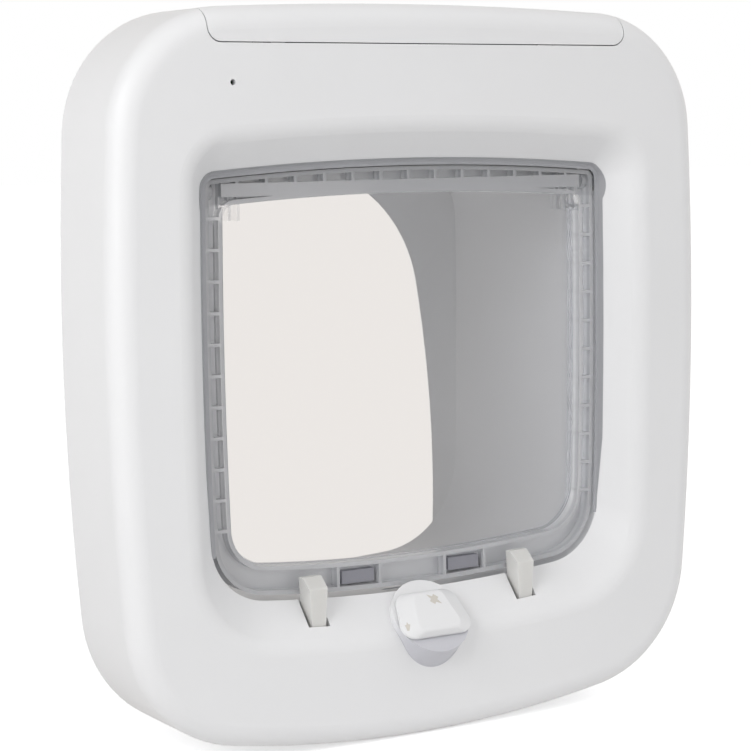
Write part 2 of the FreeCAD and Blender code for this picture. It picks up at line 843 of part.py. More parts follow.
def latch_solenoid():
    """Boxed push solenoid with a bore for its plunger."""
    z0 = fork_bar_top_z + solenoid_bar_gap
    y0 = solenoid_centre_y() - solenoid_depth / 2
    half = solenoid_width / 2
    body = box(solenoid_x - half, solenoid_x + half, y0, y0 + solenoid_depth,
               z0, z0 + solenoid_height)
    centre = V(solenoid_x, solenoid_centre_y(), 0)
    bore = rod(plunger_radius + plunger_gap, centre + V(0, 0, z0 - 1),
               centre + V(0, 0, z0 + solenoid_height - 1))
    return body.cut(bore)


def solenoid_plunger():
    centre = V(solenoid_x, solenoid_centre_y(), 0)
    return rod(plunger_radius, centre + V(0, 0, fork_bar_top_z),
               centre + V(0, 0, fork_bar_top_z + solenoid_bar_gap + solenoid_height - 2))


def latch_spring(side):
    """Tension spring that holds the fork up, from its bar to the back of the recess."""
    pitch = (spring_length - 2 * spring_wire) / spring_turns
    start_z = fork_bar_top_z + spring_wire + 0.1
    helix = Part.makeHelix(pitch, pitch * spring_turns, spring_radius)
    circle = Part.Wire(Part.makeCircle(spring_wire, V(spring_radius, 0, 0), V(0, 1, 0)))
    coil = Part.Wire(helix.Edges).makePipeShell([circle], True, False)
    coil.translate(V(side * spring_x, finger_rear_y - fork_bar_depth / 2, start_z))
    return coil


def rounded_polygon(points, radius, out):
    """A closed line across the knob's axis, with every corner rounded."""
    turns = []
    for k, (x, up) in enumerate(points):
        here = V(x, up, 0)
        before = (V(*points[k - 1], 0) - here).normalize()
        after = (V(*points[(k + 1) % len(points)], 0) - here).normalize()
        half = math.acos(before.dot(after)) / 2
        reach = radius / math.tan(half)
        inward = (before + after).normalize() * (radius / math.sin(half) - radius)
        turn = [here + before * reach, here + inward, here + after * reach]
        turns.append([on_knob(p.x, p.y, out) for p in turn])
    edges = []
    for k, turn in enumerate(turns):
        edges.append(Part.Arc(*turn).toShape())
        edges.append(Part.makeLine(turn[2], turns[(k + 1) % len(turns)][0]))
    return Part.Wire(edges)


def grip_outline(side_inset, end_inset, corner, out):
    """The grip's outline, wider at its lower end, drawn in from its edges."""
    up, down = knob_reach_up - end_inset, end_inset - knob_reach_down
    upper, lower = knob_upper_width / 2 - side_inset, knob_lower_width / 2 - side_inset
    return rounded_polygon([(upper, up), (-upper, up), (-lower, down), (lower, down)],
                           corner, out)


def lock_knob():
    """Bevelled grip, wider at its lower end, with a round hub that turns in the case."""
    low = pedestal_height + fit_gap
    skirt = Part.Face(grip_outline(0, 0, knob_corner, low))
    skirt = skirt.extrude(ramp_out * (knob_skirt - low))
    face = grip_outline(knob_side_bevel, knob_end_bevel, knob_face_corner, knob_rise)
    cushion = Part.makeLoft([grip_outline(0, 0, knob_corner, knob_skirt), face], True, True)
    grip = skirt.fuse(cushion).removeSplitter()
    top = [e for e in grip.Edges
           if all(abs((v.Point - knob_base).dot(ramp_out) - knob_rise) < 0.01
                  for v in e.Vertexes)]
    grip = grip.makeFillet(knob_face_round, top)
    hub = rod(knob_hub_radius, on_knob(0, 0, -knob_hub_depth), on_knob(0, 0, low + 1))
    bore = rod(spindle_radius, on_knob(0, 0, -2 * knob_hub_depth), on_knob(0, 0, low))
    return grip.fuse(hub).cut(bore).removeSplitter()


def lock_spindle():
    low = pedestal_height + fit_gap
    shaft = rod(spindle_radius, on_knob(0, 0, -spindle_depth), on_knob(0, 0, low))
    return shaft.cut(rod(cam_screw_radius, on_knob(0, 0, -spindle_depth - 1),
                         on_knob(0, 0, -spindle_depth + cam_screw_length)))


def cam_radius(turn):
    """The cam's radius after a turn in degrees from its lowest point."""
    if turn <= cam_turn:
        return cam_low_radius + cam_lift * max(turn, 0) / cam_turn
    return cam_low_radius + cam_lift


def lock_cam():
    """Spiral disc that lifts the tongue as the knob turns."""
    def rim(turn, radius):
        angle = math.radians(90 - turn)
        return on_knob(radius * math.cos(angle), radius * math.sin(angle),
                       -cam_depth - cam_thickness)
    lead_in, dwell = 12.0, 12.0
    rise = [rim(cam_turn * k / 12, cam_radius(cam_turn * k / 12)) for k in range(13)]
    spiral = Part.BSplineCurve()
    spiral.interpolate(rise)
    end = rim(cam_turn + dwell, cam_low_radius + cam_lift)
    back = rim(-lead_in, cam_low_radius)
    start_mid = rim(-lead_in / 2, cam_low_radius)
    end_mid = rim(cam_turn + dwell / 2, cam_low_radius + cam_lift)
    edges = [spiral.toShape(), Part.Arc(rise[-1], end_mid, end).toShape(),
             Part.makeLine(end, back), Part.Arc(back, start_mid, rise[0]).toShape()]
    disc = Part.Face(Part.Wire(edges)).extrude(ramp_out * cam_thickness)
    return disc.cut(rod(spindle_radius, on_knob(0, 0, -2 * spindle_depth), knob_base))


def cam_screw():
    face = on_knob(0, 0, -spindle_depth)
    head = rod(cam_screw_head_radius, face - ramp_out * cam_screw_head, face)
    shank = rod(cam_screw_radius, face, on_knob(0, 0, -spindle_depth + cam_screw_length - 0.2))
    return head.fuse(shank).removeSplitter()


def foot_z(y):
    """Height of the tongue's slanted foot, just above the cam's low point."""
    lift = cam_low_radius + tongue_cam_gap
    return cam_centre.z + (lift - ramp_up.y * (y - cam_centre.y)) / ramp_up.z


def lock_tongue():
    """Blade that rises behind the flap, with a slanted foot on the cam."""
    y0, y1 = tongue_front_y(), tongue_rear_y()
    toe = y0 - tongue_foot_reach
    points = [(y0, floor_z(y0) - tongue_floor_gap), (y1, floor_z(y0) - tongue_floor_gap),
              (y1, foot_z(y1)), (toe, foot_z(toe)), (toe, tongue_foot_top_z),
              (y0, tongue_foot_top_z)]
    return profile_x(points, -tongue_half_width, tongue_half_width)


def tray_middle_y():
    return (inner_front_y + fit_gap - cover_rear_margin) / 2 - tray_wall / 2


def tray_half_depth():
    return cell_row_pitch / 2 + cell_radius + fit_gap


def battery_tray():
    """Open tray for the cells, with a low wall between the two rows."""
    half, deep = tray_half_length, tray_half_depth()
    mid = tray_middle_y()
    outer = box(-half - tray_wall, half + tray_wall, mid - deep - tray_wall,
                mid + deep + tray_wall, tray_floor_z, tray_rim_z)
    well = box(-half, half, mid - deep, mid + deep, tray_floor_z + tray_wall, case_top_z)
    wall = box(-half, half, mid - fit_gap, mid + fit_gap, tray_floor_z,
               tray_floor_z + 2 * tray_wall)
    return joined([outer.cut(well), wall])


def cell_centre_z():
    return tray_floor_z + tray_wall + cell_floor_gap + cell_radius


def battery(number):
    """One AA cell, its button toward +X in the front row and -X in the rear row."""
    row = -1 if number in (1, 2) else 1
    column = -1 if number in (1, 3) else 1
    y = tray_middle_y() + row * cell_row_pitch / 2
    z = cell_centre_z()
    length = cell_length + cell_tip_length
    start = (-length if column < 0 else 0) + (0 if row < 0 else cell_tip_length)
    can = rod(cell_radius, V(start, y, z), V(start + cell_length, y, z))
    can = can.makeFillet(0.6, can.Edges[:1] + can.Edges[2:3])
    tip_at = start + cell_length if row < 0 else start - cell_tip_length
    tip = rod(cell_tip_radius, V(tip_at, y, z), V(tip_at + cell_tip_length, y, z))
    return can.fuse(tip).removeSplitter()


def battery_contacts():
    """Four bent leaves at the ends of the rows."""
    leaves = []
    x0 = cell_length + cell_tip_length + 0.1
    for row in (-1, 1):
        y = tray_middle_y() + row * cell_row_pitch / 2
        leaf = box(x0, x0 + contact_thickness, y - contact_height / 2, y + contact_height / 2,
                   tray_floor_z + tray_wall, cell_centre_z() + contact_height / 2)
        foot = box(x0, tray_half_length, y - contact_height / 2, y + contact_height / 2,
                   tray_floor_z + tray_wall, tray_floor_z + tray_wall + contact_thickness)
        leaves += both_sides(leaf.fuse(foot).removeSplitter())
    return leaves


def board_front_y():
    return inner_front_y + board_stand_off


def circuit_board():
    y0 = board_front_y()
    board = box(board_left_x, board_right_x, y0, y0 + board_thickness,
                board_bottom_z, board_top_z)
    return board.cut(rod(led_radius / 2, V(led_x, y0 - 1, led_z),
                         V(led_x, y0 + board_thickness + 1, led_z)))


def board_chips():
    """Chips and cans on the rear of the board, each with its place, width and height."""
    y0 = board_front_y() + board_thickness
    middle = (board_bottom_z + board_top_z) / 2
    return [box(x - w / 2, x + w / 2, y0, y0 + chip_height, middle - h / 2, middle + h / 2)
            for x, w, h in chip_places]


def status_led():
    y0 = inner_front_y + led_wall_gap
    lens = rod(led_radius, V(led_x, y0, led_z), V(led_x, board_front_y(), led_z))
    lens = lens.makeFillet(led_radius * 0.6, edges_at_y(lens, y0))
    leg = rod(led_radius / 2, V(led_x, board_front_y(), led_z),
              V(led_x, board_front_y() + board_thickness, led_z))
    return lens.fuse(leg).removeSplitter()


def button_switch():
    """Small push switch on the board's top edge, reached under the battery cover."""
    half = button_switch_size / 2
    mid = board_front_y() + board_thickness / 2
    body = box(button_x - half, button_x + half, mid - half, mid + half,
               board_top_z, board_top_z + button_switch_height)
    centre = V(button_x, mid, board_top_z)
    return body.cut(rod(button_radius + running_gap, centre + V(0, 0, 0.4),
                        centre + V(0, 0, 2 * button_switch_height)))


def learn_button():
    centre = V(button_x, board_front_y() + board_thickness / 2, board_top_z)
    low = centre + V(0, 0, button_switch_height - button_sink)
    stem = rod(button_radius, low, centre + V(0, 0, button_switch_height + button_rise))
    top = [e for e in stem.Edges
           if abs(e.BoundBox.ZMin - stem.BoundBox.ZMax) < 0.01]
    return stem.makeFillet(0.4, top)


def case_screws():
    """Six pan-head screws from the rear plate into the front cover's bosses."""
    screws = []
    for spot in case_screw_spots():
        tip = spot + V(0, plate_rear_y - case_screw_length + 0.5, 0)
        seat = spot + V(0, plate_rear_y, 0)
        shank = rod(case_screw_radius, tip, seat)
        head = rod(case_screw_head_radius, seat, seat + V(0, case_screw_head, 0))
        head = head.makeFillet(case_screw_head / 2, edges_at_y(head, seat.y + case_screw_head))
        screws.append(shank.fuse(head).removeSplitter())
    return screws


def save(name, shape):
    if isinstance(shape, list):
        shape = Part.makeCompound(shape)
    shape.exportStep("parts/" + name + ".step")


def main():
    os.makedirs("parts", exist_ok=True)
    save("front_cover", front_cover())
    save("rear_housing", rear_housing())
    save("tunnel_extension", tunnel_extension())
    save("mounting_gasket", mounting_gasket())
    save("coil_former", coil_former())
    save("antenna_coil", antenna_coil())
    save("flap_panel", flap_panel())
    save("flap_magnets", flap_magnets())
    save("sill_magnets", sill_magnets())
    save("pivot_bush_right", pivot_bush(1))
    save("pivot_bush_left", pivot_bush(-1))
    save("latch_fork", latch_fork())
    save("latch_solenoid", latch_solenoid())
    save("solenoid_plunger", solenoid_plunger())
    save("latch_spring_right", latch_spring(1))
    save("latch_spring_left", latch_spring(-1))
    save("lock_knob", lock_knob())
    save("lock_spindle", lock_spindle())
    save("lock_cam", lock_cam())
    save("cam_screw", cam_screw())
    save("lock_tongue", lock_tongue())
    save("battery_cover", battery_cover())
    save("battery_tray", battery_tray())
    for number in range(1, 5):
        save("battery_%d" % number, battery(number))
    save("battery_contacts", battery_contacts())
    save("circuit_board", circuit_board())
    save("board_chips", board_chips())
    save("status_led", status_led())
    save("button_switch", button_switch())
    save("learn_button", learn_button())
    save("case_screws", case_screws())


main()
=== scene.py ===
import bpy
import bmesh
import json
import math
from mathutils import Matrix, Vector


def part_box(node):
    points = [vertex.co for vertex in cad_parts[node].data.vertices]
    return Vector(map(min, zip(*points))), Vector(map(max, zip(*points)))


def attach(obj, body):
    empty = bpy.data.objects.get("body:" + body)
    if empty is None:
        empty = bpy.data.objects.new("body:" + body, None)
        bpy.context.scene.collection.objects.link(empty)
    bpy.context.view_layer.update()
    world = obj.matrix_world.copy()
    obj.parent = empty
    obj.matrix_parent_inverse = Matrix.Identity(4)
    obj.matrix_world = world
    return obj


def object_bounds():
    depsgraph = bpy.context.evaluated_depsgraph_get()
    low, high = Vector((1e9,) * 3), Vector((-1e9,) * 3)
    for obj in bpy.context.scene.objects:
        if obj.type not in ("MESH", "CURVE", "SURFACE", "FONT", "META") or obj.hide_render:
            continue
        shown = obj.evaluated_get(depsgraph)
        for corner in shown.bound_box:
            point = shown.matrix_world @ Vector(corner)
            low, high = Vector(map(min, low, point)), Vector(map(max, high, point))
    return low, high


# Cat flap on a pale floor: finishes for every CAD node, printed signs on the knob, a seal
# and a rib round the flap, plain studio light and a camera at the photograph's angle.
# Metres throughout. The front faces -Y.

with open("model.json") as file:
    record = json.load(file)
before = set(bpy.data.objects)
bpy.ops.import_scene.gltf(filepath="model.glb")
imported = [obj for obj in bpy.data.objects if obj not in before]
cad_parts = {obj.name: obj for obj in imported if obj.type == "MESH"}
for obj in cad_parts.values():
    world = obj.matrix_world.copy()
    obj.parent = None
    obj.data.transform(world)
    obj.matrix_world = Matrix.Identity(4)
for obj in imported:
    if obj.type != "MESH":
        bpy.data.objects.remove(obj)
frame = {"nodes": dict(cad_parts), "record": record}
cad_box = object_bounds()

# Camera, from outlines matched in the photograph
PHOTO_SIDE = 751
FOCAL_PX = 2242.6
SENSOR_MM = 36.0
CAMERA_PLACE = (-0.4146, -0.6915, 0.0847)
CAMERA_TURN = 31.12
CAMERA_DROP = 6.27
CAMERA_ROLL = -0.76

# The flap: its rim's widths, bows and inner corner, and the bars below its top corners
FLAP_WEB_HALF = 0.0731
FLAP_TOP_RIM = 0.0091
FLAP_BOTTOM_RIM = 0.0101
FLAP_CORNER = 0.014
FLAP_WIDEST_Z = 0.020
FLAP_SIDE_BOW = 2.0
FLAP_TOP_BOW = 0.95
FLAP_BOTTOM_BOW = 0.62
FLAP_DEEP_Y = -0.0266
FLAP_BAR_X = 0.0648
FLAP_BAR_DEPTH = 0.0176

# The flap's looks: tints, the rim's painted greys (painted shade in place of the light its inner
# faces turn aside, painted light on its channel floors and darker painted shade along its top),
# how much of the rim is milky, and how soft each change is
WEB_TINT = (0.895, 0.900, 0.912, 1.0)
BAR_TINT = (0.946, 0.949, 0.955, 1.0)
# Painted shade: the rim's greys, darker along the top; painted light: the lighter channel floors
RIM_PAINTED_GREY = (0.615, 0.62, 0.64, 1.0)
RIM_PAINTED_GREY_DARK = (0.585, 0.59, 0.61, 1.0)
RIM_FLOOR_PAINTED_LIGHT = (0.92, 0.925, 0.94, 1.0)
TOP_RIM_PAINTED_SHADE = (0.50, 0.505, 0.525, 1.0)
TOP_RIM_FLOOR_PAINTED_LIGHT = (0.80, 0.805, 0.82, 1.0)
RIM_SHARE = 0.92
RIM_CLEAR = 0.28
RIM_GLOSS = 0.28
RIM_LAMP_LOSS = 0.3
BAR_FADE = 0.9
FOOT_LESS_PAINTED_LIGHT = 0.6
RIM_EDGE = 0.0005
BAR_EDGE = 0.0003
DEEP_EDGE = 0.0008
FOOT_EDGE = 0.005

# Plastics in general
PLASTIC_IOR = 1.49
PLASTIC_SPECULAR = 0.45
MILKY_IOR = 1.5
MILKY_SHARE = 0.35
MILKY_REACH = 0.004

# How high the reliefs are
FINE_RELIEF = 0.0001
WIRE_RELIEF = 0.0003
PORE_RELIEF = 0.0004
WAVE_RELIEF = 0.0008

# How fine the patterns are, in cycles per metre
TONE_FLOW = 14.0
GLOSS_FLOW = 60.0
CLEAR_WAVES = 35.0
CLEAR_GLOSS_FLOW = 120.0
MILKY_CLOUDS = 90.0
METAL_WEAR = 400.0
METAL_STREAKS = 1800.0
FOAM_PORES = 900.0
WIRE_TURNS = 900.0
BOARD_TRACKS = 160.0
BOARD_GLOSS_FLOW = 200.0
INK_SPOTS = 1500.0

# The knob: where its axis leaves the ramp, the ways out of and up the ramp, and its seat, where
# shade below the knob is painted
KNOB_BASE = Vector((0.0, -0.0379584, -0.0866734))
KNOB_OUT = Vector((0.0, -0.7459377, 0.6660158))
KNOB_UP = Vector((0.0, 0.6660158, 0.7459377))
SEAT_RADIUS = 0.0146
SEAT_EDGE = 0.0002
SEAT_DEPTH = 0.012
SEAT_TOP = -0.003
SEAT_FADE = 0.006

# The arrows on the knob: place across and up its face, turn in degrees, length and heads
KNOB_SIGNS = {
    "knob_sign_both_ways": (0.0016, 0.0042, -42.0, 0.0066, (-1, 1)),
    "knob_sign_one_way": (-0.0121, -0.0040, 80.0, 0.0034, (1,)),
}

# An arrow's shape as shares of its length, and how it is laid on
ARROW_NECK = 0.16
ARROW_SHAFT = 0.10
ARROW_HEAD = 0.27
ARROW_LIFT = 0.00005
ARROW_START = 0.02

# The rib that closes the gap above the flap, behind it
RIB_HALF = 0.0788
RIB_TOP = 0.0741
RIB_HEIGHT = 0.0042
RIB_FRONT = -0.0200
RIB_WALL = 0.0012
RIB_STEPS = (40, 2)

# The seal round the window's sides and top, lying on the funnel's inner edge; its grey is partly
# painted shade, and its inner band over the gap behind the edge is painted shade
WINDOW_HALF = 0.08145
WINDOW_TOP = 0.0737
WINDOW_CORNER = 0.0045
LIP_Y = -0.0295
SEAL_OVER_GAP_PAINTED_SHADE = 0.0015
SEAL_BACK = 0.0010
SEAL_WALL = 0.0003
SEAL_PROUD = 0.8
SEAL_FOOT = -0.052
SEAL_TAPER = 0.022
LOBE_Z = 0.0635
LOBE_REACH = 0.0052
LOBE_OUT = 0.0009
SEAL_STEPS = (300, 4)

# Light
SKY_LEVEL = 0.60
SKY_TILT = 0.55
SKY_WAY = (0.975, -0.22, 0.03)
SKY_BACK = 0.30
SKY_BACK_FROM = 0.7
KEY_WATTS = 8.3
KEY_PLACE = (-1.10, -0.42, 0.45)
KEY_SIZE = 0.8
TOP_WATTS = 2.7
TOP_PLACE = (0.3, -0.6, 1.8)
TOP_SIZE = 1.4
FLOOR_HALF = 8.0
FLOOR_TONE = (0.9, 0.9, 0.9, 1.0)
FLOOR_LIFT = 0.62
BACKDROP = (0.927, 0.887, 0.848, 1.0)


class Term:
    """A shader value that takes part in Python arithmetic."""

    def __init__(self, finish, socket):
        self.finish, self.socket = finish, socket

    def math(self, operation, *others):
        return self.finish.node("ShaderNodeMath", {"operation": operation}, {
            k: v for k, v in enumerate((self,) + others)})

    def __add__(self, other):
        return self.math("ADD", other)

    __radd__ = __add__

    def __sub__(self, other):
        return self.math("SUBTRACT", other)

    def __rsub__(self, other):
        return self.math("MULTIPLY_ADD", -1.0, other)

    def __mul__(self, other):
        return self.math("MULTIPLY", other)

    def __truediv__(self, other):
        return self.math("DIVIDE", other)


class Finish:
    """A material's node tree, with one method that makes any node."""

    def __init__(self, name):
        self.material = bpy.data.materials.new(name)
        self.start(self.material, "ShaderNodeOutputMaterial")

    def start(self, owner, output_kind):
        owner.use_nodes = True
        self.tree = owner.node_tree
        self.tree.nodes.clear()
        self.out = self.tree.nodes.new(output_kind)

    @classmethod
    def of_world(cls, world):
        """The same tools on a world's node tree."""
        made = cls.__new__(cls)
        made.material = world
        made.start(world, "ShaderNodeOutputWorld")
        return made

    def node(self, kind, settings=None, inputs=None, output=0):
        """A node with its settings first, then its inputs; returns one output as a Term."""
        made = self.tree.nodes.new(kind)
        for key, value in (settings or {}).items():
            setattr(made, key, value)
        for key, value in (inputs or {}).items():
            if isinstance(value, Term):
                self.tree.links.new(value.socket, made.inputs[key])
            else:
                made.inputs[key].default_value = value
        return Term(self, made.outputs[output])

    def outputs(self, term, *names):
        """Other outputs of the node that a Term comes from."""
        found = term.socket.node.outputs
        return [Term(self, found[name]) for name in names]

    def close(self, shader):
        self.tree.links.new(shader.socket, self.out.inputs["Surface"])
        return self.material

    def place(self):
        return self.node("ShaderNodeTexCoord", output="Object")

    def noise(self, scale, detail=3.0, roughness=0.55):
        """Fractal noise from 0 to 1, in cycles per metre."""
        return self.node("ShaderNodeTexNoise", {}, {
            "Vector": self.place(), "Scale": scale, "Detail": detail, "Roughness": roughness})

    def seen_through(self):
        """1 where the camera sees this by a mirror or through clear plastic.

        It is 0 again behind a matte bounce, so that the light on matte faces stays.
        """
        kind = self.node("ShaderNodeLightPath", output="Is Transmission Ray")
        glossy, passed, matte = self.outputs(
            kind, "Is Glossy Ray", "Transparent Depth", "Diffuse Depth")
        clear = kind.math("MAXIMUM", glossy).math("MAXIMUM", passed.math("MINIMUM", 1.0))
        return clear * (1.0 - matte.math("MINIMUM", 1.0))

    def step(self, value, edge, softness):
        """0 below an edge and 1 above it, with a soft change."""
        return self.node("ShaderNodeMapRange", {"interpolation_type": "SMOOTHSTEP"}, {
            "Value": value, "From Min": edge - softness, "From Max": edge + softness})

    def spread(self, value, low, high):
        """Carries a value from 0..1 to low..high."""
        return value * (high - low) + low

    def blend(self, factor, first, second):
        return self.node("ShaderNodeMix", {"data_type": "RGBA"}, {
            "Factor": factor, 6: first, 7: second}, output=2)

    def bump(self, height, strength, distance):
        return self.node("ShaderNodeBump", {}, {
            "Strength": strength, "Distance": distance, "Height": height})

    def vector(self, operation, first, second=None, output=0):
        inputs = {0: first} if second is None else {0: first, 1: second}
        return self.node("ShaderNodeVectorMath", {"operation": operation}, inputs, output)

    def principled(self, inputs):
        return self.node("ShaderNodeBsdfPrincipled", {}, inputs)

    def transparent(self, tint):
        return self.node("ShaderNodeBsdfTransparent", {}, {"Color": tint})

    def mix(self, factor, first, second):
        return self.node("ShaderNodeMixShader", {}, {0: factor, 1: first, 2: second})


def srgb(r, g, b):
    """A colour picked from the photograph, 0 to 255, as linear light."""
    def lin(v):
        v /= 255.0
        return v / 12.92 if v <= 0.04045 else ((v + 0.055) / 1.055) ** 2.4
    return (lin(r), lin(g), lin(b), 1.0)


def toned(colour, share):
    """A colour with its light taken up or down."""
    return tuple(share * c for c in colour[:3]) + (1.0,)


WHITE = srgb(238, 238, 239)
WHITE_SHADE = srgb(233, 233, 234)
# Painted shade for the knob's seat, below the knob
SEAT_PAINTED_SHADE = srgb(200, 200, 206)


def moulded_plastic(name, colour, shade, grain_mm, grain_lift, gloss, patch=None):
    """Injection-moulded plastic: fine spark-eroded grain and a soft flow in tone and gloss."""
    f = Finish(name)
    speck = f.noise(1000.0 / grain_mm, 2.0, 0.6)
    tone = f.blend(f.noise(TONE_FLOW, 2.0), colour, shade)
    if patch:
        tone = patch(f, tone)
    return f.close(f.principled({
        "Base Color": tone,
        "Roughness": f.spread(f.noise(GLOSS_FLOW, 3.0), gloss - 0.05, gloss + 0.06),
        "Normal": f.bump(speck, grain_lift, FINE_RELIEF),
        "IOR": PLASTIC_IOR, "Specular IOR Level": PLASTIC_SPECULAR}))


def case_plastic(name, patch=None):
    return moulded_plastic(name, WHITE, WHITE_SHADE, 0.35, 0.12, 0.42, patch)


def painted_seat_shade(f, tone):
    """Painted shade on the knob's seat: a little darker below the knob, where the knob's shadow
    falls.
    """
    from_knob = f.vector("SUBTRACT", f.place(), KNOB_BASE)
    up = f.vector("DOT_PRODUCT", from_knob, KNOB_UP, output="Value")
    out = f.vector("DOT_PRODUCT", from_knob, KNOB_OUT, output="Value")
    reach = f.vector("LENGTH", from_knob, output="Value")
    across = (reach * reach - out * out).math("MAXIMUM", 0.0).math("SQRT")
    # Painted shade: inside the seat's rim and below the knob's axis
    under_knob_shade = (1.0 - f.step(across, SEAT_RADIUS + SEAT_EDGE, SEAT_EDGE / 2)) * (
        1.0 - f.step(out.math("ABSOLUTE"), SEAT_DEPTH, 0.001)) * (
        1.0 - f.step(up, SEAT_TOP, SEAT_FADE))
    return f.blend(under_knob_shade, tone, SEAT_PAINTED_SHADE)


def clear_shader(f, tint, gloss, waviness):
    """Clear plastic with slight waviness in its surfaces, and that waviness."""
    wave = f.bump(f.noise(CLEAR_WAVES, 1.0, 0.4), waviness, WAVE_RELIEF)
    return f.principled({
        "Base Color": tint,
        "Roughness": f.spread(f.noise(CLEAR_GLOSS_FLOW, 2.0), gloss, gloss + 0.03),
        "Normal": wave, "IOR": PLASTIC_IOR, "Transmission Weight": 1.0}), wave


def clear_plastic(name, tint, gloss):
    f = Finish(name)
    return f.close(clear_shader(f, tint, gloss, 0.08)[0])


def clear_flap():
    """The flap's moulding: a clear web, and a rim painted grey as shade in place of the light its
    many inner faces turn aside, with painted light on its channel floors, less of it near the
    foot, and darker painted shade along its top.
    """
    f = Finish("clear_flap")
    low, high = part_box("flap_panel")
    along, depth, above = f.outputs(
        f.node("ShaderNodeSeparateXYZ", {}, {0: f.place()}), "X", "Y", "Z")
    across = along.math("ABSOLUTE")
    rise = above - FLAP_WIDEST_Z
    from_side = across + rise * rise / (2 * FLAP_SIDE_BOW) - (FLAP_WEB_HALF - FLAP_CORNER)
    from_foot = (low.z + FLAP_BOTTOM_RIM + FLAP_CORNER) + across * across / (
        2 * FLAP_BOTTOM_BOW) - above
    out_x, out_z = from_side.math("MAXIMUM", 0.0), from_foot.math("MAXIMUM", 0.0)
    low_rim = f.step((out_x * out_x + out_z * out_z).math("SQRT"), FLAP_CORNER, RIM_EDGE)
    top_rim = f.step(above + across * across / (2 * FLAP_TOP_BOW),
                     high.z - FLAP_TOP_RIM, RIM_EDGE)
    rim = low_rim.math("MAXIMUM", top_rim)
    bars = (f.step(across, FLAP_BAR_X, BAR_EDGE)
            * f.step(above, high.z - FLAP_BAR_DEPTH, BAR_EDGE) * (1.0 - rim))

    # Painted light on the rim's channel floors, less of it near the foot; painted shade in the
    # rim's grey, darker along the top
    deep = f.step(depth, FLAP_DEEP_Y, DEEP_EDGE)
    foot = f.step(from_foot, FLAP_CORNER / 2, FOOT_EDGE)
    side_painted_grey = f.blend(deep * (1.0 - foot * FOOT_LESS_PAINTED_LIGHT),
                        f.blend(f.noise(GLOSS_FLOW, 2.0), RIM_PAINTED_GREY, RIM_PAINTED_GREY_DARK), RIM_FLOOR_PAINTED_LIGHT)
    top_painted_grey = f.blend(deep, TOP_RIM_PAINTED_SHADE, TOP_RIM_FLOOR_PAINTED_LIGHT)
    web, wave = clear_shader(f, WEB_TINT, 0.01, 0.05)
    painted_grey_rim = f.principled({
        "Base Color": f.blend(top_rim, side_painted_grey, top_painted_grey), "Roughness": RIM_GLOSS,
        "Normal": wave, "IOR": PLASTIC_IOR, "Transmission Weight": RIM_CLEAR})

    seen = f.mix(bars * BAR_FADE, f.mix(rim * RIM_SHARE, web, painted_grey_rim), f.transparent(BAR_TINT))
    lamps = f.node("ShaderNodeLightPath", output="Is Shadow Ray") * (1.0 - rim * RIM_LAMP_LOSS)
    return f.close(f.mix(lamps, seen, f.transparent(WEB_TINT)))


def milky_plastic(name, colour, gloss):
    """Natural plastic that lets some light into its surface."""
    f = Finish(name)
    cloud = f.noise(MILKY_CLOUDS, 3.0)
    return f.close(f.principled({
        "Base Color": f.blend(cloud, colour, toned(colour, 0.93)),
        "Roughness": f.spread(cloud, gloss, gloss + 0.1), "IOR": MILKY_IOR,
        "Subsurface Weight": MILKY_SHARE, "Subsurface Scale": 1.0,
        "Subsurface Radius": (MILKY_REACH, MILKY_REACH, MILKY_REACH)}))


def metal(name, colour, gloss, streak):
    """Plated or drawn metal with fine wear in its gloss."""
    f = Finish(name)
    wear = f.noise(METAL_WEAR, 4.0, 0.7)
    return f.close(f.principled({
        "Base Color": f.blend(wear, colour, toned(colour, 0.8)),
        "Roughness": f.spread(wear, gloss, gloss + 0.15), "Metallic": 1.0,
        "Normal": f.bump(f.noise(METAL_STREAKS, 1.0), streak, FINE_RELIEF)}))


def foam(name, colour):
    """Closed-cell foam with open pores on its cut faces, with painted shade inside the pores."""
    f = Finish(name)
    cells = f.node("ShaderNodeTexVoronoi", {}, {"Vector": f.place(), "Scale": FOAM_PORES})
    return f.close(f.principled({
        # Painted shade: darker inside the pores
        "Base Color": f.blend(cells * 1.4, toned(colour, 0.5), colour),
        "Roughness": f.spread(cells, 0.8, 0.95), "Normal": f.bump(cells, 0.6, PORE_RELIEF)}))


def winding(name, colour):
    """Enamelled wire wound in even turns along Y, with painted shade in the grooves between turns.
    """
    f = Finish(name)
    turns = f.node("ShaderNodeTexWave", {"bands_direction": "Y"}, {
        "Vector": f.place(), "Scale": WIRE_TURNS, "Distortion": 0.3})
    return f.close(f.principled({
        # Painted shade: darker in the grooves between turns
        "Base Color": f.blend(turns, toned(colour, 0.45), colour),
        "Roughness": f.spread(turns, 0.45, 0.25), "Metallic": 0.6,
        "Normal": f.bump(turns, 0.7, WIRE_RELIEF)}))


def circuit(name, colour, track):
    """Solder mask with copper tracks showing faintly through."""
    f = Finish(name)
    tracks = f.node("ShaderNodeTexBrick", {"offset": 0.35}, {
        "Vector": f.place(), "Scale": BOARD_TRACKS, "Mortar Size": 0.03,
        "Color1": (0, 0, 0, 1), "Color2": (0, 0, 0, 1), "Mortar": (1, 1, 1, 1)}, output="Fac")
    return f.close(f.principled({
        "Base Color": f.blend(tracks, colour, track),
        "Roughness": f.spread(f.noise(BOARD_GLOSS_FLOW), 0.25, 0.4)}))


def printed(name, colour):
    """Pad-printed ink, a little thin in places."""
    f = Finish(name)
    ink = f.noise(INK_SPOTS, 3.0, 0.6)
    return f.close(f.principled({
        "Base Color": f.blend(ink, colour, toned(colour, 1.12)),
        "Roughness": f.spread(ink, 0.45, 0.6)}))


